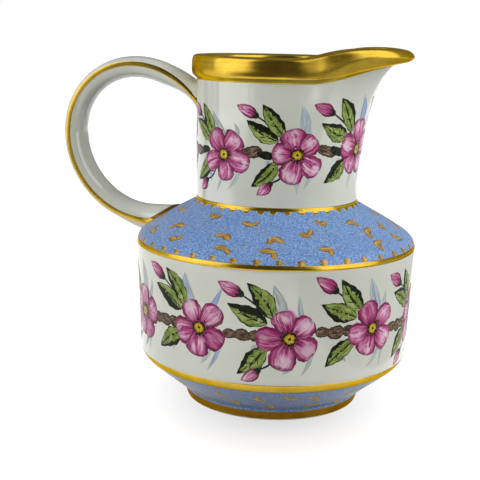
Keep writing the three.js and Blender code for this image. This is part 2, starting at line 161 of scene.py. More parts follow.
OUTSIDE = in_rows(outline([
    (FOOT_RADIUS - FOOT_RING_WIDTH / 2, 0, 0),
    (FOOT_RADIUS, 0, FOOT_ROUND),
    (FOOT_TOP_RADIUS, FOOT_HEIGHT, FOOT_TOP_ROUND),
    (BELLY_LOW_RADIUS, BELLY_LOW, BELLY_ROUND),
    (BELLY_RADIUS, SHOULDER_LOW, SHOULDER_ROUND),
    (shoulder_middle[0], shoulder_middle[1], 0),
    (NECK_RADIUS, NECK_LOW, NECK_ROUND),
    (NECK_TOP_RADIUS, BAND_LOW, BAND_FOOT_ROUND),
    (BAND_RADIUS, BAND_LOW + BAND_SLOPE_HEIGHT, BAND_LOW_ROUND),
    (BAND_RADIUS, RIM_TOP, RIM_ROUND),
    (RIM_MIDDLE, RIM_TOP, 0),
]))


def inside_corners():
    """Corners of the inside, a wall's thickness within the outside."""
    stages = np.array([
        [FOOT_TOP_RADIUS, FOOT_HEIGHT],
        [BELLY_LOW_RADIUS, BELLY_LOW],
        [BELLY_RADIUS, SHOULDER_LOW],
        [NECK_RADIUS, NECK_LOW],
        [NECK_TOP_RADIUS, RIM_TOP],
    ])
    lines = [np.array([[0, FLOOR_TOP], [FOOT_TOP_RADIUS, FLOOR_TOP]])]
    for line in zip(stages[:-1], stages[1:]):
        line = np.array(line)
        lines.append(line - outward(line) * WALL)
    lines.append(np.array([[0, RIM_TOP], [BAND_RADIUS, RIM_TOP]]))
    return [crossing(*first, *second) for first, second in zip(lines[:-1], lines[1:])]


floor_edge, belly_bottom, belly_top, neck_bottom, mouth = inside_corners()
INSIDE = in_rows(outline([
    (RIM_MIDDLE, RIM_TOP, 0),
    (*mouth, RIM_ROUND),
    (*neck_bottom, INSIDE_ROUND),
    (*belly_top, INSIDE_ROUND),
    (*belly_bottom, INSIDE_ROUND),
    (*floor_edge, INSIDE_ROUND),
    (0, FLOOR_TOP, 0),
]))

WALL_LINE = OUTSIDE[1:]
WALL_NORMAL = outward(WALL_LINE)
WALL_LENGTH = np.concatenate([[0], np.cumsum(np.linalg.norm(np.diff(WALL_LINE, axis=0), axis=1))])


def length_at(height):
    """Length along the wall's outside up to a height."""
    return float(np.interp(height, WALL_LINE[:, 1], WALL_LENGTH))


def pull_share(angle, half_angle):
    """One in the spout's middle, eased to nothing at an angle from it."""
    across = np.minimum(1, np.abs(angle) / half_angle)
    return np.cos(across * np.pi / 2) ** 2


def pulled(points):
    """Points of the turned vessel with the spout drawn out of them."""
    points = np.array(points, float)
    x, y, z = points[:, 0], points[:, 1], points[:, 2]
    angle = np.arctan2(y, x)
    flare_share = pull_share(angle, SPOUT_FLARE_ANGLE)
    beak_share = pull_share(angle, SPOUT_BEAK_ANGLE)
    rise_share = pull_share(angle, SPOUT_RISE_ANGLE)
    side_share = 4 * rise_share * (1 - rise_share)
    top_rise = SPOUT_SIDE_RISE * side_share + SPOUT_TIP_RISE * rise_share ** 2
    band_rise = SPOUT_BAND_RISE * pull_share(angle, SPOUT_BAND_ANGLE) ** SPOUT_BAND_CURVE
    in_band = np.clip((z - BAND_LOW) / BAND_HEIGHT, 0, 1)
    under_band = np.clip((z - SPOUT_START) / (BAND_LOW - SPOUT_START), 0, 1)
    low_rise = band_rise * under_band ** 2
    height = z + low_rise + (top_rise - low_rise) * in_band
    share = np.maximum(0, (height - SPOUT_START) / (RIM_TOP + top_rise - SPOUT_START))
    pull = SPOUT_FLARE * flare_share * share ** SPOUT_FLARE_CURVE
    to_nose = np.minimum(1, share / SPOUT_NOSE_SHARE) ** SPOUT_BEAK_CURVE
    pull += SPOUT_BEAK * beak_share * np.sin(to_nose * np.pi / 2)
    pull += SPOUT_LIP * beak_share * np.sin(np.pi * in_band ** SPOUT_LIP_CURVE)
    radius = np.hypot(x, y)
    pull += np.where(radius > RIM_MIDDLE, BAND_BULGE, 0) * np.sin(np.pi * in_band) ** 2
    scale = np.where(radius > 0, (radius + pull) / np.maximum(radius, TINY), 1)
    moved = np.stack([x * scale, y * scale, height], axis=1)
    return np.where((z > SPOUT_START)[:, None], moved, points)


def grid_faces(rows, columns, rows_close, columns_close):
    """Faces between the rows of a grid of points, where rows or columns may close to rings."""
    faces = []
    for row in range(rows if rows_close else rows - 1):
        low, high = row * columns, (row + 1) % rows * columns
        for step in range(columns if columns_close else columns - 1):
            after = (step + 1) % columns
            faces.append((low + step, low + after, high + after, high + step))
    return faces


def tube_faces(loops, count):
    """Faces of a tube between long lines of points, with both its ends closed."""
    faces = grid_faces(loops, count, rows_close=True, columns_close=False)
    faces.append([loop * count for loop in range(loops)])
    faces.append([(loop + 1) * count - 1 for loop in reversed(range(loops))])
    return faces


def along_wall(length, values):
    """What the points of the wall's outside hold, read at lengths up it."""
    return np.stack([np.interp(length, WALL_LENGTH, values[:, axis]) for axis in (0, 1)])


def on_wall(angle, length, lift):
    """Points on the vessel's outside at an angle and a length up the wall, lifted off it."""
    angle, length, lift = np.broadcast_arrays(angle, length, lift)
    radius, height = along_wall(length, WALL_LINE) + lift * along_wall(length, WALL_NORMAL)
    return pulled(np.stack([radius * np.cos(angle), radius * np.sin(angle), height], axis=1))


def linked(name, data):
    """An object put into the scene."""
    made = bpy.data.objects.new(name, data)
    bpy.context.scene.collection.objects.link(made)
    return made


def piece(name, points, faces, material, slot=None, replaces=(), marks=None):
    """A mesh object of the part: points in millimetres about the vessel's axis."""
    mesh = bpy.data.meshes.new(name)
    placed = np.array(points) * MM
    placed[:, 0] += AXIS_X
    mesh.from_pydata(placed.tolist(), [], [list(map(int, face)) for face in faces])
    mesh.shade_smooth()
    if marks is not None:
        attribute = mesh.attributes.new("paint", "FLOAT_VECTOR", "POINT")
        attribute.data.foreach_set("vector", np.array(marks, np.float32).ravel())
    mesh.update()
    made = linked(name, mesh)
    mesh.materials.append(material)
    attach(made, "root")
    if replaces:
        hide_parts(*replaces)
    return made


def turned(profile, closed):
    """Points and faces of a profile turned about the axis: a ring if closed, else ending on the axis."""
    angles = np.linspace(0, 2 * np.pi, TURN_STEPS, endpoint=False)
    rows = profile if closed else profile[1:-1]
    radius, height = rows[:, :1], rows[:, 1:]
    points = np.stack([radius * np.cos(angles), radius * np.sin(angles), height + 0 * angles], axis=2)
    points = points.reshape(-1, 3)
    faces = grid_faces(len(rows), TURN_STEPS, rows_close=closed, columns_close=True)
    if not closed:
        first, last = len(points), len(points) + 1
        points = np.vstack([points, [0, 0, profile[0][1]], [0, 0, profile[-1][1]]])
        top = (len(rows) - 1) * TURN_STEPS
        for step in range(TURN_STEPS):
            after = (step + 1) % TURN_STEPS
            faces.append((first, after, step))
            faces.append((last, top + step, top + after))
    return pulled(points), faces


def srgb(red, green, blue):
    """A colour as it shows on screen, 0 to 255, for a shader."""
    linear = []
    for value in (red, green, blue):
        share = value / 255
        linear.append(share / 12.92 if share <= 0.04045 else ((share + 0.055) / 1.055) ** 2.4)
    return (*linear, 1.0)


class Value:
    """A socket of a shader's nodes that can be reckoned with."""

    def __init__(self, shader, socket):
        self.shader, self.socket = shader, socket

    def __add__(self, other):
        return self.shader.calc("ADD", self, other)

    def __sub__(self, other):
        return self.shader.calc("SUBTRACT", self, other)

    def __mul__(self, other):
        return self.shader.calc("MULTIPLY", self, other)

    def __abs__(self):
        return self.shader.calc("ABSOLUTE", self)

    def fade(self, start, end):
        """Eased from nothing at the start to one at the end."""
        ends = {"Value": self, "From Min": start, "From Max": end}
        return self.shader.node("MapRange", ends, interpolation_type="SMOOTHSTEP")

    def spread(self, low, high):
        """From a low to a high where this goes from nothing to one."""
        return self.shader.node("MapRange", {"Value": self, "To Min": low, "To Max": high})


class Shader:
    """A material around one Principled shader, with short calls for its nodes."""

    def __init__(self, name, **constants):
        self.material = bpy.data.materials.new(name)
        self.material.use_nodes = True
        self.tree = self.material.node_tree
        self.surface = self.tree.nodes["Principled BSDF"]
        for key, value in constants.items():
            self.surface.inputs[key.replace("_", " ")].default_value = value

    def node(self, kind, inputs=None, output=0, **settings):
        made = self.tree.nodes.new("ShaderNode" + kind)
        for key, value in settings.items():
            setattr(made, key, value)
        for key, value in (inputs or {}).items():
            if isinstance(value, Value):
                self.tree.links.new(value.socket, made.inputs[key])
            else:
                made.inputs[key].default_value = value
        return Value(self, made.outputs[output])

    def calc(self, operation, *values):
        return self.node("Math", dict(enumerate(values)), operation=operation)

    def most(self, first, *others):
        for other in others:
            first = self.calc("MAXIMUM", first, other)
        return first

    def mix(self, share, first, second):
        return self.node("Mix", {0: share, 6: first, 7: second}, 2, data_type="RGBA")

    def ramp(self, value, *stops):
        """A colour along a value, from stops of a place and a colour as it shows on screen."""
        made = self.tree.nodes.new("ShaderNodeValToRGB")
        while len(made.color_ramp.elements) < len(stops):
            made.color_ramp.elements.new(1)
        for element, (position, *colour) in zip(made.color_ramp.elements, stops):
            element.position = position
            element.color = srgb(*colour)
        self.tree.links.new(value.socket, made.inputs[0])
        return Value(self, made.outputs[0])

    def place(self, scale=(1, 1, 1)):
        """Position in the part's frame, stretched."""
        here = self.node("TexCoord", output=3)
        return self.node("VectorMath", {0: here, 1: scale}, operation="MULTIPLY")

    def paint(self):
        """Place across a stroke, place along it and the stroke's own number."""
        vector = self.node("Attribute", output=1, attribute_name="paint")
        split = self.tree.nodes.new("ShaderNodeSeparateXYZ")
        self.tree.links.new(vector.socket, split.inputs[0])
        return [Value(self, socket) for socket in split.outputs]

    def vector(self, x, y, z):
        return self.node("CombineXYZ", {0: x, 1: y, 2: z})

    def noise(self, vector, scale, detail, roughness=0.5):
        values = {"Vector": vector, "Scale": scale, "Detail": detail, "Roughness": roughness}
        return self.node("TexNoise", values)

    def bump(self, height, strength, distance):
        values = {"Height": height, "Strength": strength, "Distance": distance}
        self.set("Normal", self.node("Bump", values))

    def set(self, key, value):
        self.tree.links.new(value.socket, self.surface.inputs[key])

    def finished(self, colour, grain, low, high, strength, depth):
        """The material, with its colour and with a grain that varies its gloss and its surface."""
        self.set("Base Color", colour)
        self.set("Roughness", grain.spread(low, high))
        self.bump(grain, strength, depth)
        return self.material

    def show(self, shade):
        """Put another shader in the place of the Principled one."""
        self.tree.links.new(shade.socket, self.tree.nodes["Material Output"].inputs["Surface"])


def glaze(made):
    """Clouded white of the glazed body."""
    cloud = made.noise(made.place(), 60.0, 3.0)
    return made.ramp(cloud, (0.3, 219, 223, 209), (0.7, 229, 233, 220))


def porcelain_material():
    made = Shader("porcelain", IOR=1.55, Coat_Weight=0.7, Coat_IOR=1.6, Coat_Roughness=0.03)
    made.set("Base Color", glaze(made))
    made.set("Roughness", made.noise(made.place(), 900.0, 2.0).spread(0.1, 0.2))
    made.bump(made.noise(made.place(), 140.0, 2.0), 0.2, 0.0002)
    return made.material


def gold_material(name, light, dark, low, high):
    made = Shader(name, Metallic=1.0, Specular_Tint=srgb(226, 202, 140))
    strokes = made.noise(made.place((60, 60, 1800)), 1.0, 3.0, 0.6)
    cloud = made.noise(made.place(), 180.0, 3.0)
    shade = strokes * 0.4 + cloud * 0.6
    made.set("Base Color", made.ramp(shade, (0.32, *dark), (0.6, *light)))
    made.set("Roughness", shade.spread(low, high))
    made.bump(strokes, 0.15, 0.00004)
    return made.material


def blue_material():
    made = Shader("blue_ground", IOR=1.25, Coat_Weight=0.06, Coat_Roughness=0.12)
    grain = made.noise(made.place(), 2400.0, 2.0, 0.8)
    patch = made.noise(made.place(), 120.0, 3.0)
    blue = made.ramp(
        grain,
        (0.37, 72, 105, 170), (0.46, 112, 153, 211), (0.56, 136, 174, 224), (0.67, 200, 216, 234),
    )
    blue = made.mix(patch * 0.4, blue, srgb(120, 162, 224))
    return made.finished(blue, grain, 0.22, 0.42, 0.3, 0.00006)


PORCELAIN = porcelain_material()
GOLD = gold_material("gilding", (206, 173, 64), (180, 145, 46), 0.15, 0.28)
# Darker, rougher copy of the gilding. Its darker colour is painted shade, for gold that faces down or sits in
# a crease
SHADED_GOLD = gold_material("shaded_gilding", (142, 104, 28), (104, 72, 13), 0.24, 0.42)
BLUE = blue_material()

# Vessel in one closed skin
ring_inside = FOOT_RADIUS - FOOT_RING_WIDTH
UNDER_FOOT = np.array([
    [0, FOOT_RECESS],
    [ring_inside - FOOT_RECESS_INSET, FOOT_RECESS],
    [ring_inside, 0],
])
VESSEL_LINE = np.vstack([in_rows(UNDER_FOOT, UNDER_FOOT_ROWS), WALL_LINE, INSIDE[1:]])
piece("porcelain_vessel", *turned(VESSEL_LINE, closed=False), PORCELAIN, "porcelain", ["vessel_body"])

# Fired bands: thin skins that follow the wall, sunk at their edges, where blue runs a little under the gold
COAT_LIFT, COAT_SINK, COAT_OVERLAP = 0.06, 0.08, 0.2
BAND_ROWS = 0.45


def band_line(path):
    """Closed section of a coat over a stretch of the wall."""
    rows = in_rows(path, BAND_ROWS)
    normals = outward(rows)
    lift = np.full(len(rows), COAT_LIFT)
    lift[[0, -1]] = 0.0
    face = rows + normals * lift[:, None]
    back = (rows - normals * COAT_SINK)[::-1]
    return np.vstack([face, back])


def stretch(low, high):
    """Stretch of the wall between two heights."""
    between = (WALL_LINE[:, 1] > low) & (WALL_LINE[:, 1] < high)
    return along_wall([length_at(low), *WALL_LENGTH[between], length_at(high)], WALL_LINE).T


def coat(name, low, high, material, slot, node):
    piece(name, *turned(band_line(stretch(low, high)), closed=True), material, slot, [node])


FOOT_GILT = (0.4, 2.8)
BELLY_LINE = (BELLY_LOW - 1.4, BELLY_LOW + 1.1)
SHOULDER_LINE = (SHOULDER_LOW - 2.3, SHOULDER_LOW - 0.8)
NECK_LINE = (NECK_LOW + 0.2, NECK_LOW + 1.3)
BASE_GROUND = (FOOT_GILT[1] - COAT_OVERLAP, BELLY_LINE[0] + COAT_OVERLAP)
SHOULDER_GROUND = (SHOULDER_LINE[1] - COAT_OVERLAP, NECK_LINE[0] + COAT_OVERLAP)
# The foot band takes the darker gold: painted shade, as it faces down to the shadowed floor
coat("gold_foot_band", *FOOT_GILT, SHADED_GOLD, "gilding", "foot_gilding")
coat("blue_base_ground", *BASE_GROUND, BLUE, "blue_ground", "base_blue_ground")
coat("gold_belly_line", *BELLY_LINE, GOLD, "gilding", "belly_gold_line")
coat("gold_shoulder_line", *SHOULDER_LINE, GOLD, "gilding", "shoulder_gold_line")
coat("blue_shoulder_ground", *SHOULDER_GROUND, BLUE, "blue_ground", "shoulder_blue_ground")
coat("gold_neck_line", *NECK_LINE, GOLD, "gilding", "neck_gold_line")

RIM_COAT_DROP = 0.3
rim_outside = WALL_LINE[WALL_LINE[:, 1] >= BAND_LOW - TINY]
rim_inside = INSIDE[1:][INSIDE[1:, 1] >= RIM_TOP - GILT_INSIDE]
RIM_LINE = np.vstack([stretch(BAND_LOW - RIM_COAT_DROP, BAND_LOW), rim_outside[1:], rim_inside])
piece("gold_rim_band", *turned(band_line(RIM_LINE), closed=True), GOLD, "gilding", ["rim_gilding"])

# Handle: the strap's edge line lies in the plane of the spout and the axis
ARC_STEPS, LEVEL_STEPS, STRAP_STEPS = 150, 30, 14


def from_wall(points):
    """Distance of points (radius, height) outside the vessel's wall, negative within."""
    starts, ends = WALL_LINE[:-1], WALL_LINE[1:]
    along = ends - starts
    squares = (along ** 2).sum(axis=1)
    best = np.full(len(points), np.inf)
    signed = np.zeros(len(points))
    for start, step, square in zip(starts, along, squares):
        share = np.clip(((points - start) @ step) / square, 0, 1)
        gap = points - start - share[:, None] * step
        distance = np.linalg.norm(gap, axis=1)
        nearer = distance < best
        side = np.sign(gap @ np.array([step[1], -step[0]]))
        signed[nearer] = (side * distance)[nearer]
        best[nearer] = distance[nearer]
    return signed


def handle_line():
    """Stations of the edge line, their outward directions, and how far each is from the neck and the foot."""
    turn = np.array([
        [math.cos(HANDLE_SLANT), math.sin(HANDLE_SLANT)],
        [-math.sin(HANDLE_SLANT), math.cos(HANDLE_SLANT)],
    ])
    oval = turn @ np.diag([HANDLE_OVAL_RATIO, 1 / HANDLE_OVAL_RATIO]) @ turn.T
    upper_height = BAND_LOW - HANDLE_DROP
    upper = np.array([-np.interp(upper_height, WALL_LINE[:, 1], WALL_LINE[:, 0]), upper_height])
    shoulder = WALL_LINE[(WALL_LINE[:, 1] >= SHOULDER_LOW) & (WALL_LINE[:, 1] <= NECK_LOW)]
    seat_radius = BELLY_RADIUS - HANDLE_SEAT_INSET
    lower = np.array([-seat_radius, np.interp(-seat_radius, -shoulder[:, 0], shoulder[:, 1])])
    reach = np.array([-NECK_TOP_RADIUS - HANDLE_REACH, (upper[1] + lower[1]) / 2])
    first, second, third = (np.linalg.solve(oval, point) for point in (upper, reach, lower))
    quarter = np.array([[0, -1], [1, 0]])
    bisectors = []
    for start, end in ((first, second), (second, third)):
        middle = (start + end) / 2
        bisectors.extend([middle, middle + quarter @ (end - start)])
    centre = crossing(*bisectors)
    radius = np.linalg.norm(first - centre)
    start = math.atan2(*(first - centre)[::-1]) % (2 * math.pi) - HANDLE_ROOT / radius
    end = math.atan2(*(oval.T @ [0, -1])[::-1]) % (2 * math.pi)
    angles = np.linspace(start, end, ARC_STEPS)
    arc = (centre + radius * np.stack([np.cos(angles), np.sin(angles)], axis=1)) @ oval.T
    level = arc[-1] + np.linspace(0, 2 * HANDLE_ROOT, LEVEL_STEPS)[1:, None] * np.array([1, 0])
    line = np.vstack([arc, level])
    steps = np.linalg.norm(np.diff(line, axis=0), axis=1)
    lengths = np.concatenate([[0], np.cumsum(steps)]) - HANDLE_ROOT
    away = to_right(units(np.gradient(line, axis=0)))
    if away[0] @ (line[0] - oval @ centre) < 0:
        away = -away
    return line, away, lengths, np.linalg.norm(line - lower, axis=1)


HANDLE_LINE, HANDLE_AWAY, HANDLE_LENGTHS, FROM_FOOT = handle_line()


def crowned(half, edge, crown, fullness):
    """One face of the strap, from edge to edge, as a curve of its own height and fullness."""
    full, pull = half * fullness, edge + crown * 4 / 3
    a, b, c, d = np.array([(half, edge), (full, pull), (-full, pull), (-half, edge)])
    share = np.linspace(0, 1, STRAP_STEPS + 1)[:, None]
    rest = 1 - share
    return rest ** 3 * a + 3 * rest ** 2 * share * b + 3 * rest * share ** 2 * c + share ** 3 * d


def strap_section():
    half, edge = HANDLE_WIDTH / 2, HANDLE_EDGE / 2
    outer = crowned(half, edge, HANDLE_OUTER_CROWN, HANDLE_OUTER_FULLNESS)
    inner = crowned(-half, -edge, -HANDLE_INNER_CROWN, HANDLE_INNER_FULLNESS)
    return np.vstack([outer, inner])


FILLET_SWELL, FILLET_REACH = 0.07, 1.1


def eased(share):
    share = np.clip(share, 0, 1)
    return share * share * (3 - 2 * share)


def swept(section):
    """Points and faces of a closed section (across, away), or one a row, swept along the handle."""
    at_neck = eased(1 - HANDLE_LENGTHS / HANDLE_TAPER_LENGTH)[:, None]
    at_foot = eased(1 - FROM_FOOT / HANDLE_FOOT_LENGTH)[:, None]
    sections = np.broadcast_to(section, (len(HANDLE_LINE), *section.shape[-2:]))
    across, away = sections[..., 0], sections[..., 1]
    outer = HANDLE_SWELL_SHARE * at_neck + HANDLE_FOOT_SHARE * at_foot
    away = away * (1 + np.where(away > 0, outer, -HANDLE_TAPER_SHARE * at_neck))
    x = HANDLE_LINE[:, :1] + HANDLE_AWAY[:, :1] * away
    z = HANDLE_LINE[:, 1:] + HANDLE_AWAY[:, 1:] * away
    gap = from_wall(np.stack([np.hypot(x, across).ravel(), z.ravel()], axis=1)).reshape(x.shape)
    swell = 1 + FILLET_SWELL * np.exp(-np.maximum(gap, 0) / FILLET_REACH)
    fuller_away, fuller_across = away * swell, across * swell
    x = HANDLE_LINE[:, :1] + HANDLE_AWAY[:, :1] * fuller_away
    z = HANDLE_LINE[:, 1:] + HANDLE_AWAY[:, 1:] * fuller_away
    points = np.stack([x, fuller_across, z], axis=2)
    rows, count = points.shape[:2]
    faces = [(a, d, c, b) for a, b, c, d in grid_faces(rows, count, rows_close=False, columns_close=True)]
    faces.append(tuple(range(count)))
    faces.append(tuple((rows - 1) * count + step for step in reversed(range(count))))
    return points, faces


ROOT_DEPTH = 1.3
core_line = WALL_LINE - WALL_NORMAL * ROOT_DEPTH
CORE_LINE = np.vstack([[0, core_line[0, 1]], core_line, [0, core_line[-1, 1]]])


def rooted(name, points, faces, material, slot, nodes):
    """A piece on the handle's line, cut off inside the vessel's wall."""
    made = piece(name, points.reshape(-1, 3), faces, material, slot, nodes)
    core = piece("core", *turned(CORE_LINE, closed=False), material)
    cut = made.modifiers.new("cut", "BOOLEAN")
    cut.operation = "DIFFERENCE"
    cut.solver = "EXACT"
    cut.object = core
    graph = bpy.context.evaluated_depsgraph_get()
    mesh = bpy.data.meshes.new_from_object(made.evaluated_get(graph))
    made.modifiers.clear()
    old = made.data
    made.data = mesh
    bpy.data.meshes.remove(old)
    mesh.name = name
    mesh.materials.clear()
    mesh.materials.append(material)
    mesh.polygons.foreach_set("material_index", [0] * len(mesh.polygons))
    mesh.shade_smooth()
    core_mesh = core.data
    bpy.data.objects.remove(core)
    bpy.data.meshes.remove(core_mesh)


strap_points, strap_faces = swept(strap_section())
strap_nodes = ["handle", "handle_lute_upper", "handle_lute_lower"]
rooted("porcelain_handle", strap_points, strap_faces, PORCELAIN, "porcelain", strap_nodes)

# Gold line on both edges of the strap
EDGE_LIFT, EDGE_ROUND, EDGE_SINK, EDGE_STEPS = 0.1, 0.18, 0.3, 12
EDGE_WIDTH, EDGE_NECK_WIDTH, EDGE_NECK_SHIFT, EDGE_NECK_LENGTH = 1.4, 0.5, 0.3, 14.0
EDGE_FLAT_SHARE = 0.45


def gold_edge():
    """Sections of the gold line, one a row: flat inside, rounded towards the strap's outer face."""
    edge = HANDLE_EDGE / 2
    near_neck = eased(1 - HANDLE_LENGTHS / EDGE_NECK_LENGTH)[:, None]
    share = np.linspace(0, 1, EDGE_STEPS + 1)
    width = EDGE_WIDTH + EDGE_NECK_WIDTH * near_neck
    away = edge - EDGE_NECK_SHIFT * near_neck - width * share
    inner_face = strap_section()[STRAP_STEPS + 1:][::-1][:STRAP_STEPS // 2]
    skin = np.interp(-away, -inner_face[:, 1], inner_face[:, 0])
    rounding = np.sqrt(1 - np.clip(1 - share / (1 - EDGE_FLAT_SHARE), 0, 1) ** 2)
    top = np.stack([skin + EDGE_LIFT - EDGE_ROUND * (1 - rounding), away], axis=2)
    bottom = np.stack([skin[:, [-1, 0]] - EDGE_SINK, away[:, [-1, 0]]], axis=2)
    return np.concatenate([top, bottom], axis=1)


for side, name, node in (
    (1, "gold_handle_line_back", "handle_gold_back"),
    (-1, "gold_handle_line_front", "handle_gold_front"),
):
    points, faces = swept((gold_edge() * [side, 1])[:, ::side])
    rooted(name, points, faces, GOLD, "gilding", [node])

# Painting: strokes are thin closed shells on the wall, in millimetres round it and up it
STROKE_EDGE, STROKE_SINK = -0.004, -0.05
RINGS = (1.0, 0.9, 0.74, 0.56, 0.38, 0.2)


def jitter(amount):
    return float(RNG.uniform(-amount, amount))


def number():
    """A stroke's own number, from which its shader draws its streaks."""
    return float(RNG.uniform())


class Place:
    """A spot on the wall that flat shapes are laid about."""

    def __init__(self, angle, height):
        self.angle = angle
        self.length = length_at(height)
        self.radius = float(along_wall(self.length, WALL_LINE)[0])

    def laid(self, flat, lift):
        return on_wall(self.angle + flat[:, 0] / self.radius, self.length + flat[:, 1], lift)


def moved(flat, at, heading):
    """A flat shape that grows along +y, turned to a heading in degrees from +x and put at a point."""
    turn = math.radians(heading - 90)
    cosine, sine = math.cos(turn), math.sin(turn)
    return flat @ np.array([[cosine, sine], [-sine, cosine]]) + np.array(at)


def toward(at, heading, length):
    """The point at a length from another one along a heading in degrees."""
    turn = math.radians(heading)
    return (at[0] + length * math.cos(turn), at[1] + length * math.sin(turn))


class Paint:
    """Strokes gathered into one mesh."""

    def __init__(self):
        self.points, self.faces, self.marks = [], [], []
        self.count = 0

    def add(self, points, faces, marks):
        self.faces.extend([index + self.count for index in face] for face in faces)
        self.points.append(points)
        self.marks.append(marks)
        self.count += len(points)

    def fill(self, place, shape, at, heading, lift):
        """A filled shape, given by its outline and by what marks the points inside it."""
        line, measure = shape
        middle = line.mean(axis=0)
        flat = np.vstack([middle + share * (line - middle) for share in RINGS] + [middle[None]])
        marks = measure(flat)
        laid = moved(flat, at, heading)
        count, under = len(line), len(flat)
        lifts = np.full(under, lift)
        lifts[:count] = STROKE_EDGE
        top = place.laid(laid, lifts)
        back = place.laid(laid, np.full(under, STROKE_SINK))
        inner, hub = (len(RINGS) - 1) * count, len(RINGS) * count
        faces = []
        for step in range(count):
            after = (step + 1) % count
            faces.append((step, under + step, under + after, after))
            for low in range(0, inner, count):
                ring = (low + step, low + after, low + count + after, low + count + step)
                faces.append(ring)
                faces.append([under + index for index in reversed(ring)])
            faces.append((inner + step, inner + after, hub))
            faces.append((under + inner + after, under + inner + step, under + hub))
        self.add(np.vstack([top, back]), faces, np.vstack([marks, marks]))

    def line(self, place, path, widths, lift):
        """A stroke along a path, with a width at each point of it."""
        side = to_right(units(np.gradient(path, axis=0))) * (np.array(widths) / 2)[:, None]
        count, own = len(path), number()
        edges = ((1, STROKE_EDGE), (0, lift), (-1, STROKE_EDGE), (-1, STROKE_SINK), (1, STROKE_SINK))
        loops = [place.laid(path + across * side, np.full(count, high)) for across, high in edges]
        shares = np.linspace(0, 1, count)
        marks = [np.stack([0 * shares + across, shares, 0 * shares + own], axis=1) for across, _ in edges]
        self.add(np.vstack(loops), tube_faces(len(edges), count), np.vstack(marks))

    def finish(self, name, material, slot=None):
        piece(name, np.vstack(self.points), self.faces, material, slot, marks=np.vstack(self.marks))


# Waves in the edge of a stroke: how many there are, and how far the stroke's own number shifts them
BLADE_WAVES = ((17, 40), (9, 23))
DISC_WAVES = ((3, 31), (5, 57))
THINNEST_SHARE = 0.02


def waves(shares, own, kinds):
    return (np.sin(shares * count + own * shift) for count, shift in kinds)


def blade(length, width, half_width, bend, ripple, flip=1, steps=15):
    """A shape along +y whose half width is a share of its width at each share of its length."""
    own = number()
    shares = (1 - np.cos(np.linspace(0, np.pi, steps + 1))) / 2
    first, second = waves(shares, own, BLADE_WAVES)
    halves = np.maximum(half_width(shares), 0) * width / 2 * (1 + ripple * first * second)
    centres = bend * np.sin(np.pi * shares)
    right = np.stack([centres + halves, shares * length], axis=1)
    left = np.stack([centres - halves, shares * length], axis=1)[1:-1][::-1]

    def measure(flat):
        along = np.clip(flat[:, 1] / length, 0, 1)
        half = np.maximum(np.interp(along, shares, halves), width * THINNEST_SHARE)
        across = np.clip((flat[:, 0] - np.interp(along, shares, centres)) / half, -1, 1)
        return np.stack([across * flip, along, 0 * along + own], axis=1)

    return np.vstack([right, left]), measure


def disc(radius, squash, ripple, steps):
    """A round shape about its own middle."""
    own = number()
    angles = np.linspace(0, 2 * np.pi, steps, endpoint=False)
    first, second = waves(angles, own, DISC_WAVES)
    radii = radius * (1 + ripple * first + ripple / 2 * second)
    line = np.stack([radii * np.cos(angles), radii * np.sin(angles) * squash], axis=1)

    def measure(flat):
        around = np.arctan2(flat[:, 1], flat[:, 0]) / np.pi
        out = np.minimum(np.hypot(flat[:, 0], flat[:, 1] / squash) / radius, 1)
        return np.stack([around, out, 0 * out + own], axis=1)

    return line, measure


# Half widths of the brush shapes along their lengths
def spindle(lean, fullness):
    """Pointed at both ends and fullest before its middle."""
    return lambda share: np.sin(np.pi * share ** lean) ** fullness


leaf_half, bud_half, wash_half = spindle(0.78, 0.9), spindle(0.72, 0.8), spindle(0.7, 0.9)


def petal_half(share):
    return 1.12 * share ** 0.5 * np.sqrt(np.maximum(0, 1 - share ** 4))


def knob_half(share):
    return np.sqrt(np.maximum(0, 1 - np.abs(2 * share - 1) ** 2.4))


def tooth_half(share):
    return np.sqrt(np.maximum(0, 1 - share)) * np.minimum(1, share * 20)


def arc_path(start, end, bow, steps):
    """A bowed path between two points."""
    start, end = np.array(start, float), np.array(end, float)
    shares = np.linspace(0, 1, steps)
    across = np.array([-(end - start)[1], (end - start)[0]])
    return start + np.outer(shares, end - start) + np.outer(bow * np.sin(np.pi * shares), across)


class Enamel(Shader):
    """A shader for strokes, streaked along and across them by each stroke's own number."""

    def __init__(self, name):
        super().__init__(name, IOR=1.2)
        self.across, self.along, self.own = self.paint()
        self.aside = abs(self.across)

    def streaks(self, across, along, scale=1.5, detail=3.0):
        place = self.vector(self.across * across, self.along * along, self.own * 37.0)
        return self.noise(place, scale, detail, 0.6)

    def fired(self, colour, grain, low=0.18, high=0.34):
        return self.finished(colour, grain, low, high, 0.25, 0.00005)


def petal_material():
    made = Enamel("pink_enamel")
    streak = made.streaks(4.2, 0.9)
    broad = made.streaks(1.1, 1.4)
    wander = (streak - 0.5) * 1.2
    pink = made.ramp(
        streak,
        (0.36, 150, 34, 98), (0.45, 194, 80, 142), (0.55, 220, 134, 180), (0.66, 248, 212, 230),
    )
    light = made.aside.fade(0.75, 0.25) * made.along.fade(0.35, 0.65) * broad.fade(0.42, 0.58)
    pink = made.mix(light * 0.85, pink, srgb(248, 218, 234))
    pink = made.mix(made.own.fade(0.7, 0.95) * 0.6, pink, srgb(166, 40, 110))
    root = (made.along + wander * 0.4).fade(0.46, 0.14)
    pink = made.mix(root * 0.85, pink, srgb(140, 26, 88))
    edge = (made.aside + wander * 0.5).fade(0.6, 0.86)
    tip = (made.along + wander * 0.2).fade(0.84, 0.94)
    edge = made.most(edge, tip * 0.8) * broad.fade(0.68, 0.5)
    return made.fired(made.mix(edge * 0.9, pink, srgb(112, 14, 66)), streak)


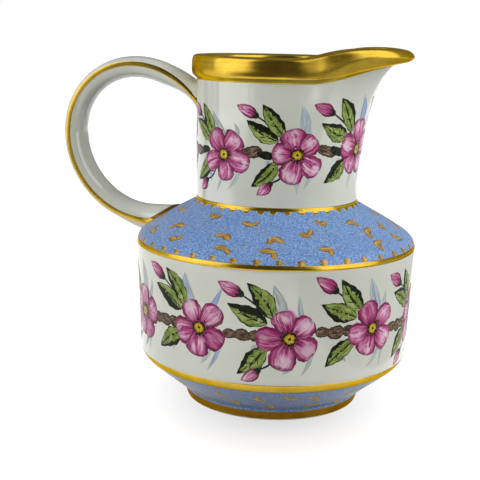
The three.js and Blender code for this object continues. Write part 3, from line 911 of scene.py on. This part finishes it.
def leaf_material():
    made = Enamel("green_enamel")
    wash = made.streaks(1.6, 2.6)
    green = made.ramp(
        wash,
        (0.34, 102, 128, 56), (0.48, 140, 162, 80), (0.6, 166, 184, 106), (0.74, 204, 214, 156),
    )
    ragged = made.streaks(1.4, 7.0, detail=2.0)
    shift = (ragged - 0.5) * 0.9
    swelling = made.across + shift + made.along * 0.45 + made.own.fade(0.88, 0.91) * 0.4
    dark_side = swelling.fade(0.66, 0.78)
    far_side = (made.across + shift * 0.4).fade(-0.8, -0.92)
    tip = (made.along + shift * 0.3).fade(0.82, 0.9)
    bow = made.calc("SINE", made.along * 3.0) * 0.12
    rib = abs(made.across + bow).fade(0.16, 0.08) * ragged.fade(0.4, 0.48)
    wave = made.calc("SINE", made.along * 26.0 + made.aside * -7.0)
    vein = wave.fade(0.82, 0.94) * made.aside.fade(0.62, 0.5) * wash.fade(0.46, 0.54)
    ink = made.most(dark_side, far_side, tip, rib, vein)
    return made.fired(made.mix(ink * 0.98, green, srgb(14, 19, 12)), wash)


def twig_material():
    made = Enamel("brown_enamel")
    grain = made.streaks(1.8, 2.2)
    brown = made.ramp(
        grain,
        (0.36, 58, 44, 34), (0.48, 98, 78, 60), (0.6, 138, 118, 96), (0.74, 186, 172, 152),
    )
    rim = (made.aside + (grain - 0.5) * 0.9).fade(0.66, 0.92)
    end = abs(made.along - 0.5).fade(0.36, 0.48)
    return made.fired(made.mix(made.most(rim, end) * 0.9, brown, srgb(38, 27, 22)), grain)


def stem_material():
    made = Enamel("black_enamel")
    grain = made.streaks(1.0, 4.0)
    black = made.ramp(grain, (0.35, 18, 22, 18), (0.6, 42, 48, 37), (0.75, 84, 94, 68))
    return made.fired(black, grain)


def heart_material():
    made = Enamel("yellow_enamel")
    dabs = made.streaks(5.0, 2.2, 1.8, 2.0)
    yellow = made.ramp(dabs, (0.36, 186, 146, 22), (0.5, 222, 192, 46), (0.66, 240, 222, 98))
    wander = (dabs - 0.5) * 1.1
    ring = (made.along + wander).fade(0.54, 0.7)
    middle = (made.along + wander * 0.3).fade(0.24, 0.16)
    return made.fired(made.mix(made.most(ring, middle), yellow, srgb(42, 24, 12)), dabs)


def wash_material():
    made = Enamel("blue_wash")
    streak = made.streaks(3.0, 0.9)
    pale = made.ramp(made.own, (0.0, 206, 214, 210), (0.74, 202, 212, 214), (0.9, 176, 196, 224))
    deep = made.ramp(made.own, (0.0, 126, 144, 146), (0.74, 134, 154, 166), (0.9, 106, 138, 204))
    edge = (made.aside + streak * 0.5).fade(0.8, 1.15)
    tint = made.mix(made.most(edge, streak.fade(0.46, 0.66)), pale, deep)
    body = made.aside.fade(1.0, 0.72) * made.along.fade(0.0, 0.1) * streak.fade(0.24, 0.42)
    return made.fired(made.mix(body, glaze(made), tint), streak, 0.1, 0.24)


def dull_gold_material():
    made = Shader("painted_gold", Metallic=0.3, IOR=1.25)
    across, along, own = made.paint()
    grain = made.noise(made.vector(across, along, own * 53.0), 2.2, 3.0)
    gold = made.ramp(grain, (0.35, 164, 128, 58), (0.52, 204, 162, 78), (0.68, 230, 192, 114))
    edge = abs(across).fade(0.46, 0.82)
    gold = made.mix(edge * 0.85, gold, srgb(104, 78, 42))
    return made.finished(gold, grain, 0.3, 0.5, 0.3, 0.00005)


FINISHES = {
    "petals": petal_material(),
    "leaves": leaf_material(),
    "twigs": twig_material(),
    "stems": stem_material(),
    "hearts": heart_material(),
    "washes": wash_material(),
}
DULL_GOLD = dull_gold_material()

LIFT_WASH, LIFT_TWIG, LIFT_STEM, LIFT_LEAF = 0.012, 0.02, 0.03, 0.034
LIFT_BUD, LIFT_PETAL, LAYER, LIFT_HEART, LIFT_DOT = 0.04, 0.042, 0.006, 0.078, 0.088
PETALS, PETAL_LENGTH, PETAL_WIDTH, PETAL_START, PETAL_STEPS = 5, 7.9, 8.8, 0.7, 23
HEART_RADIUS, STAMENS, STAMEN_REACH, STAMEN_RADIUS = 2.2, 13, 2.4, 0.26
STEM_WIDTH, STEM_STEPS, LEAF_STEPS = 0.48, 12, 19


class Garland:
    """A wreath of blossoms round the wall, with leaves, buds and a knobbly twig between them."""

    def __init__(self, name, count, first_angle, height, size, pitch, knobs):
        self.name, self.count, self.first, self.height = name, count, first_angle, height
        self.size, self.pitch, self.knobs = size, pitch, knobs
        self.paint = {kind: Paint() for kind in FINISHES}

    def blossom(self, place, size):
        spin = RNG.uniform(0, 360 / PETALS)
        for layer, index in enumerate(RNG.permutation(PETALS)):
            heading = spin + 360 / PETALS * index + jitter(6)
            length = PETAL_LENGTH * size * (1 + jitter(0.1))
            width = PETAL_WIDTH * size * (1 + jitter(0.14))
            bend, flip = jitter(0.4) * size, RNG.choice([-1, 1])
            shape = blade(length, width, petal_half, bend, 0.07, flip, PETAL_STEPS)
            at = toward((0, 0), heading, PETAL_START * size)
            self.paint["petals"].fill(place, shape, at, heading, LIFT_PETAL + LAYER * layer)
        self.paint["hearts"].fill(place, disc(HEART_RADIUS * size, 0.95, 0.07, 26), (0, 0), 90, LIFT_HEART)
        for index in range(STAMENS):
            at = toward((0, 0), 360 / STAMENS * index + jitter(9), (STAMEN_REACH + jitter(0.35)) * size)
            dot = disc((STAMEN_RADIUS + abs(jitter(0.14))) * size, 0.85, 0.12, 9)
            self.paint["stems"].fill(place, dot, at, 90, LIFT_DOT)

    def leaf(self, place, at, heading, length, width):
        flip = 1 if RNG.uniform() > 0.35 else -1
        shape = blade(length, width, leaf_half, jitter(0.9), 0.14, flip, LEAF_STEPS)
        self.paint["leaves"].fill(place, shape, at, heading, LIFT_LEAF)

    def stem(self, place, start, end, bow):
        path = arc_path(start, end, bow, STEM_STEPS)
        widths = STEM_WIDTH * (0.75 + 0.5 * np.sin(np.linspace(0.3, 2.6, len(path))))
        self.paint["stems"].line(place, path, widths, LIFT_STEM)

    def bud(self, place, base, heading, length, width):
        outer = blade(length, width, bud_half, jitter(0.3), 0.06)
        inner = blade(length * 0.8, width * 0.5, bud_half, jitter(0.3), 0.06)
        self.paint["petals"].fill(place, outer, base, heading, LIFT_BUD)
        self.paint["petals"].fill(place, inner, toward(base, heading, 0.4), heading + 9, LIFT_BUD + LAYER)
        for turn in (-22, 22):
            sepal = blade(length * 0.36, width * 0.3, leaf_half, 0.0, 0.05)
            at = toward(base, heading, -0.6)
            self.paint["stems"].fill(place, sepal, at, heading + turn, LIFT_BUD + 2 * LAYER)

    def twig(self, place, start, end):
        """Brush knobs between two blossoms, each a paint, a share of the way, a length and a width."""
        start, end = np.array(start), np.array(end)
        reach = end - start
        for layer, (kind, share, length, width) in enumerate(self.knobs):
            heading = math.degrees(math.atan2(reach[1], reach[0])) + jitter(14)
            sizes = (length * (1 + jitter(0.1)), width * (1 + jitter(0.14)))
            shape = blade(*sizes, knob_half, jitter(0.3), 0.14)
            middle = start + reach * (share + jitter(0.03)) + [0, jitter(0.35)]
            at = toward(middle, heading, -length / 2)
            self.paint[kind].fill(place, shape, at, heading, LIFT_TWIG + LAYER * layer / 2)

    def wash(self, place, at, heading, length, width):
        shape = blade(length, width, wash_half, jitter(1.2), 0.08)
        self.paint["washes"].fill(place, shape, at, heading, LIFT_WASH)

    def unit(self, place, size, with_low_bud):
        """One blossom with what grows to its left, in millimetres times the garland's size."""
        def at(right, up):
            return (right * self.size, up * self.size)

        k = self.size
        self.wash(place, at(0.4 + jitter(2), 5.0), 108 + jitter(20), 10.4 * k, 4.0 * k)
        self.wash(place, at(4.2 + jitter(1.4), 4.8), 72 + jitter(26), (6.4 + jitter(2)) * k, 1.7 * k)
        self.wash(place, at(1.6 + jitter(2), -5.4), 250 + jitter(24), (6.6 + jitter(1.6)) * k, 1.5 * k)
        self.wash(place, at(6.4, -3.6), 236 + jitter(16), (9.4 + jitter(2)) * k, 1.3 * k)
        self.wash(place, at(-9.5, -1.4), 284 + jitter(18), (8.0 + jitter(1.6)) * k, 2.6 * k)
        self.twig(place, at(-7.0, 0.2), (7.0 * k - self.pitch, 0.4 * k + jitter(0.5)))
        self.stem(place, at(-4.0, 4.6), at(-12.4, 11.4), -0.05 + jitter(0.04))
        self.bud(place, at(-12.6, 11.6), 149 + jitter(7), 7.4 * k, 3.9 * k)
        self.leaf(place, at(-4.2, 5.4), 126 + jitter(7), 12.0 * k, 5.3 * k)
        self.leaf(place, at(-5.8, 4.0), 155 + jitter(7), 12.0 * k, 5.2 * k)
        self.leaf(place, at(-6.0, -2.2), 219 + jitter(9), 11.4 * k, 5.2 * k)
        if with_low_bud:
            self.stem(place, at(-3.6, -5.0), at(-7.8, -8.6), 0.12 + jitter(0.08))
            self.bud(place, at(-7.9, -8.8), 214 + jitter(10), 5.8 * k, 3.6 * k)
        self.blossom(place, size)

    def draw(self):
        for index in range(self.count):
            angle = self.first + 2 * math.pi * index / self.count
            place = Place(angle, self.height + jitter(0.7))
            self.unit(place, self.size * (1 + jitter(0.05)), index % 2 == 0)
        for kind, paint in self.paint.items():
            paint.finish(f"{self.name}_{kind}", FINISHES[kind])


# Garlands: ten blossoms round the belly, seven round the neck, counted from the one nearest the camera
VIEW_TURN = math.radians(13.0)
FRONT = VIEW_TURN - math.pi / 2
BELLY_COUNT, BELLY_FIRST, BELLY_MIDDLE, BELLY_SIZE = 10, FRONT + math.radians(4.4), 28.3, 1.0
NECK_COUNT, NECK_FIRST, NECK_MIDDLE, NECK_SIZE = 7, FRONT + math.radians(10.7), 74.0, 0.88
BELLY_AROUND, NECK_AROUND = 39.7, 23.5
belly_pitch = 2 * math.pi * BELLY_AROUND / BELLY_COUNT
neck_pitch = 2 * math.pi * NECK_AROUND / NECK_COUNT
BELLY_KNOBS = (("twigs", 0.84, 4.4, 2.8), ("twigs", 0.16, 4.6, 3.0), ("twigs", 0.5, 4.8, 3.5))
NECK_KNOBS = (("twigs", 0.7, 6.2, 3.2), ("stems", 0.26, 5.4, 2.4))
Garland("belly", BELLY_COUNT, BELLY_FIRST, BELLY_MIDDLE, BELLY_SIZE, belly_pitch, BELLY_KNOBS).draw()
Garland("neck", NECK_COUNT, NECK_FIRST, NECK_MIDDLE, NECK_SIZE, neck_pitch, NECK_KNOBS).draw()

# Painted gold: sprigs on the blue, dots over the shoulder line, picots under the neck line, handle's joint
LIFT_GOLD, LIFT_SECOND = COAT_LIFT + 0.03, 0.004
SPRIG_LENGTH, SPRIG_WIDTH, SECOND_LENGTH, SECOND_WIDTH = 4.3, 2.3, 2.9, 1.8
SECOND_START, SECOND_TURN, SPRIG_STEPS = 0.5, 108, 9
STALK_GAP, STALK_LENGTH, STALK_TURN, STALK_BOW, STALK_STEPS = 1.2, 2.9, 22, 0.12, 7
STALK_WIDTHS = np.linspace(0.6, 0.3, STALK_STEPS)
SPECK_RADIUS, SPECK_ASIDE, SPECK_UP = 0.42, 4.4, 1.3
ROW_SHIFT = 0.37
sprigs = Paint()


def sprig(place, heading, size):
    turn = RNG.choice([-1, 1])
    length = SPRIG_LENGTH * size * (1 + jitter(0.15))
    main = blade(length, SPRIG_WIDTH * size, bud_half, jitter(0.3), 0.1, steps=SPRIG_STEPS)
    sprigs.fill(place, main, (0, 0), heading, LIFT_GOLD)
    at = toward((0, 0), heading, SECOND_START * size)
    second = blade(SECOND_LENGTH * size, SECOND_WIDTH * size, leaf_half, jitter(0.2), 0.12, steps=SPRIG_STEPS)
    sprigs.fill(place, second, at, heading + turn * (SECOND_TURN + jitter(34)), LIFT_GOLD + LIFT_SECOND)
    start = toward(at, heading + 180, STALK_GAP * size)
    end = toward(start, heading + 180 + turn * (STALK_TURN + jitter(16)), STALK_LENGTH * size)
    sprigs.line(place, arc_path(start, end, STALK_BOW * turn, STALK_STEPS), STALK_WIDTHS, LIFT_GOLD)


def sprig_row(height, count, size, spread):
    for index in range(count):
        angle = FRONT + 2 * math.pi * (index + ROW_SHIFT * height) / count
        place = Place(angle + jitter(spread), height + jitter(0.45))
        heading = RNG.choice([0, 180]) + jitter(40)
        sprig(place, heading, size)
        if index % 3 == 0:
            speck = disc(SPECK_RADIUS * size, 0.9, 0.1, 9)
            at = (SPECK_ASIDE + jitter(0.8), SPECK_UP * size + jitter(0.5))
            sprigs.fill(place, speck, at, 90, LIFT_GOLD)


# Rows of sprigs: height, number, size and how far they stray round the vessel
for row in (
    (51.0, 16, 1.05, 0.08),
    (53.4, 14, 1.05, 0.08),
    (55.8, 12, 0.95, 0.08),
    (5.6, 18, 1.0, 0.1),
    (9.0, 21, 1.0, 0.1),
):
    sprig_row(*row)
sprigs.finish("gold_sprigs", DULL_GOLD, "gilding")

SHOULDER_DOTS, DOT_RADIUS, DOT_UP = 42, 1.1, 0.6
dots = Paint()
for index in range(SHOULDER_DOTS):
    place = Place(2 * math.pi * index / SHOULDER_DOTS + jitter(0.012), SHOULDER_LINE[1] + DOT_UP)
    dots.fill(place, disc(DOT_RADIUS + jitter(0.12), 0.82, 0.05, 16), (0, jitter(0.12)), 90, LIFT_GOLD)
dots.finish("gold_dots", DULL_GOLD, "gilding")

NECK_PICOTS, PICOT_LENGTH, PICOT_WIDTH, PICOT_UP = 38, 1.35, 2.5, 0.3
picots = Paint()
for index in range(NECK_PICOTS):
    place = Place(2 * math.pi * (index + 0.5) / NECK_PICOTS + jitter(0.015), NECK_LINE[0])
    tooth = blade(PICOT_LENGTH + jitter(0.15), PICOT_WIDTH + jitter(0.3), tooth_half, 0.0, 0.05, steps=9)
    picots.fill(place, tooth, (0, PICOT_UP), 270 + jitter(8), LIFT_GOLD)
picots.finish("gold_picots", GOLD, "gilding")


def foot_ring(gap):
    """Ring of the strap's skin at a distance from the shoulder."""
    flat = np.stack([np.hypot(strap_points[..., 0], strap_points[..., 1]), strap_points[..., 2]], axis=2)
    gaps = from_wall(flat.reshape(-1, 2)).reshape(strap_points.shape[:2])
    ring = []
    for column in range(strap_points.shape[1]):
        above = np.nonzero(gaps[:, column] > gap)[0][-1]
        share = (gaps[above, column] - gap) / (gaps[above, column] - gaps[above + 1, column])
        ring.append(strap_points[above, column] * (1 - share) + strap_points[above + 1, column] * share)
    return np.array(ring)


# Gilded line where the strap's inner face meets the shoulder
JOINT_GAPS = (-0.3, 0.3, 0.9)
JOINT_LIFTS = (0.09, 0.12, 0.0)
JOINT_SINK = 0.2
INNER_FACE = slice(STRAP_STEPS + 1, None)
rings = [foot_ring(gap) for gap in JOINT_GAPS]
around = np.roll(rings[1], -1, axis=0) - np.roll(rings[1], 1, axis=0)
skin_normal = units(np.cross(around, rings[2] - rings[0]))
outside = int(np.sign(((rings[1] - rings[1].mean(axis=0)) * skin_normal).sum(axis=1).mean()))
skin_normal *= outside
lifted = list(zip(rings, JOINT_LIFTS)) + [(rings[2], -JOINT_SINK), (rings[0], -JOINT_SINK)]
loops = [(ring + skin_normal * lift)[INNER_FACE] for ring, lift in lifted]
joint_faces = [face[::outside] for face in tube_faces(len(loops), len(loops[0]))]
# The joint takes the darker gold: painted shade in the crease between strap and shoulder
piece("gold_handle_joint", np.vstack(loops), joint_faces, SHADED_GOLD, "gilding")

# Stage: floor, lights and camera
VIEW_DISTANCE, VIEW_HEIGHT, VIEW_OFFSET = 301.9, 107.4, 10.45
VIEW_PITCH, VIEW_ROLL = math.radians(11.48), math.radians(1.29)
VIEW_FOCAL, IMAGE_WIDTH, SENSOR = 1047.0, 480.0, 36.0
RIGHT = Vector((math.cos(VIEW_TURN), math.sin(VIEW_TURN), 0))
FORWARD = Vector((-math.sin(VIEW_TURN), math.cos(VIEW_TURN), 0))
UP = Vector((0, 0, 1))


def studio_point(right, forward, up):
    """A point about the vessel's axis, in millimetres, as seen from the camera."""
    return Vector((AXIS_X, 0, 0)) + (RIGHT * right + FORWARD * forward + UP * up) * MM


def round_point(azimuth, distance, up):
    """A point round the vessel's axis, by degrees to the right of the camera."""
    turn = math.radians(azimuth)
    return studio_point(distance * math.sin(turn), -distance * math.cos(turn), up)


AIM = studio_point(0, 0, 50)


def add_camera():
    data = bpy.data.cameras.new("camera")
    data.sensor_width = SENSOR
    data.lens = VIEW_FOCAL / IMAGE_WIDTH * SENSOR
    data.clip_start = 0.01
    made = linked("camera", data)
    ahead = FORWARD * math.cos(VIEW_PITCH) - UP * math.sin(VIEW_PITCH)
    top = FORWARD * math.sin(VIEW_PITCH) + UP * math.cos(VIEW_PITCH)
    side = RIGHT * math.cos(VIEW_ROLL) + top * math.sin(VIEW_ROLL)
    top = top * math.cos(VIEW_ROLL) - RIGHT * math.sin(VIEW_ROLL)
    turn = Matrix((side, top, -ahead)).transposed()
    place = studio_point(-VIEW_OFFSET, -VIEW_DISTANCE, VIEW_HEIGHT)
    made.matrix_world = Matrix.Translation(place) @ turn.to_4x4()
    bpy.context.scene.camera = made


def add_light(name, place, width, height, radiance, mirrored=True):
    """A softbox that faces the vessel, by what it gives off per area, and whether reflections show it."""
    data = bpy.data.lights.new(name, "AREA")
    data.shape = "RECTANGLE"
    data.size, data.size_y = width * MM, height * MM
    data.energy = radiance * math.pi * data.size * data.size_y
    made = linked(name, data)
    made.location = place
    made.rotation_euler = (AIM - place).to_track_quat("-Z", "Y").to_euler()
    made.visible_camera = False
    made.visible_glossy = mirrored


def add_sheet(name, width, height, material):
    """A flat sheet of the studio in its own XY plane."""
    mesh = bpy.data.meshes.new(name)
    x, y = width / 2 * MM, height / 2 * MM
    mesh.from_pydata([(-x, -y, 0), (x, -y, 0), (x, y, 0), (-x, y, 0)], [], [(0, 1, 2, 3)])
    mesh.materials.append(material)
    made = linked(name, mesh)
    return made


def add_flag(name, place, width, height, level, flat=False):
    """A bright card or dark flag that only reflections show, facing the vessel or laid flat."""
    flag = Shader(name)
    flag.show(flag.node("Emission", {"Strength": level}))
    made = add_sheet(name, width, height, flag.material)
    made.location = place
    facing = UP if flat else AIM - place
    made.rotation_euler = facing.to_track_quat("Z", "Y").to_euler()
    made.visible_camera = False
    made.visible_diffuse = False
    made.visible_shadow = False


def seen_directly(shader):
    """One for rays from the camera and for mirrored and transmitted ones, else nothing."""
    path = shader.tree.nodes.new("ShaderNodeLightPath")
    kinds = ("Is Camera Ray", "Is Glossy Ray", "Is Transmission Ray")
    return shader.most(*(Value(shader, path.outputs[kind]) for kind in kinds))


FLOOR_SIZE = 8000
# Painted shadow round the vessel: the floor's glow is lowered near it and eased to full white further out, in
# an oval squeezed sideways
FLOOR_SHADOW_NEAR, FLOOR_SHADOW_FAR, FLOOR_SHADOW_SQUEEZE = 26, 74, 0.58
FLOOR_SHADOW_GLOW, FLOOR_FAR_GLOW = 0.62, 1.0
FLOOR_COLOUR = (0.25, 0.23, 0.21, 1)


def add_floor():
    floor = Shader("floor", Base_Color=FLOOR_COLOUR, Roughness=0.7)
    away = floor.node("VectorMath", {0: floor.node("TexCoord", output=3)}, output=1, operation="LENGTH")
    reach = {"From Min": FLOOR_SHADOW_NEAR * MM, "From Max": FLOOR_SHADOW_FAR * MM}
    shadow_glow = {"To Min": FLOOR_SHADOW_GLOW, "To Max": FLOOR_FAR_GLOW}
    # The glow, dimmed near the vessel, is a painted shadow laid over the real one on the matt floor
    level = floor.node("MapRange", {"Value": away, **reach, **shadow_glow})
    light = floor.node("Emission", {"Strength": seen_directly(floor) * level})
    matt = Value(floor, floor.surface.outputs[0])
    floor.show(floor.node("AddShader", {0: matt, 1: light}))
    made = add_sheet("floor", FLOOR_SIZE, FLOOR_SIZE, floor.material)
    made.location = studio_point(0, 0, 0)
    made.rotation_euler.z = VIEW_TURN
    # Squeezed sideways so that the painted shadow is an oval
    made.scale.x = FLOOR_SHADOW_SQUEEZE


WORLD_LIGHT = 0.15


class WorldShader(Shader):
    """The same short calls for the nodes of a world."""

    def __init__(self, world):
        world.use_nodes = True
        self.tree = world.node_tree
        self.surface = self.tree.nodes["Background"]


def add_world():
    world = bpy.data.worlds.new("studio")
    bpy.context.scene.world = world
    studio = WorldShader(world)
    studio.surface.inputs["Color"].default_value = (1, 1, 1, 1)
    studio.set("Strength", seen_directly(studio).spread(WORLD_LIGHT, 1.0))


add_camera()
add_floor()
add_world()
add_light("softbox_left", round_point(-68, 600, 290), 620, 720, 1.6)
add_light("softbox_right", round_point(88, 600, 250), 560, 720, 3.0, mirrored=False)
add_light("softbox_top", studio_point(0, 60, 700), 700, 700, 0.22, mirrored=False)
add_light("fill_front", round_point(-6, 600, 300), 500, 560, 1.22, mirrored=False)

# Cards and flags: degrees right of the camera, distance and height, then width, height and level
for name, azimuth, distance, up, width, height, level in (
    ("right_card", 58, 600, 330, 700, 820, 1.85),
    ("front_flag", -2, 700, 300, 1100, 1100, 0.08),
    ("left_flag", -70, 720, 300, 860, 1000, 0.3),
    ("right_flag", 66, 720, 300, 840, 1000, 0.3),
    ("back_left_flag", -132, 700, 300, 1000, 900, 0.62),
    ("back_right_flag", 130, 700, 300, 1100, 900, 0.42),
    ("back_flag", 180, 700, 300, 500, 900, 0.25),
):
    add_flag(name, round_point(azimuth, distance, up), width, height, level)
add_flag("low_front_flag", studio_point(0, -515, 3), 900, 580, 0.12, flat=True)
add_flag("low_right_flag", studio_point(255, 20, 2), 350, 560, 0.58, flat=True)
add_flag("ceiling_flag", studio_point(0, -100, 800), 1400, 1400, 0.26)
bpy.context.scene.view_settings.view_transform = "Standard"
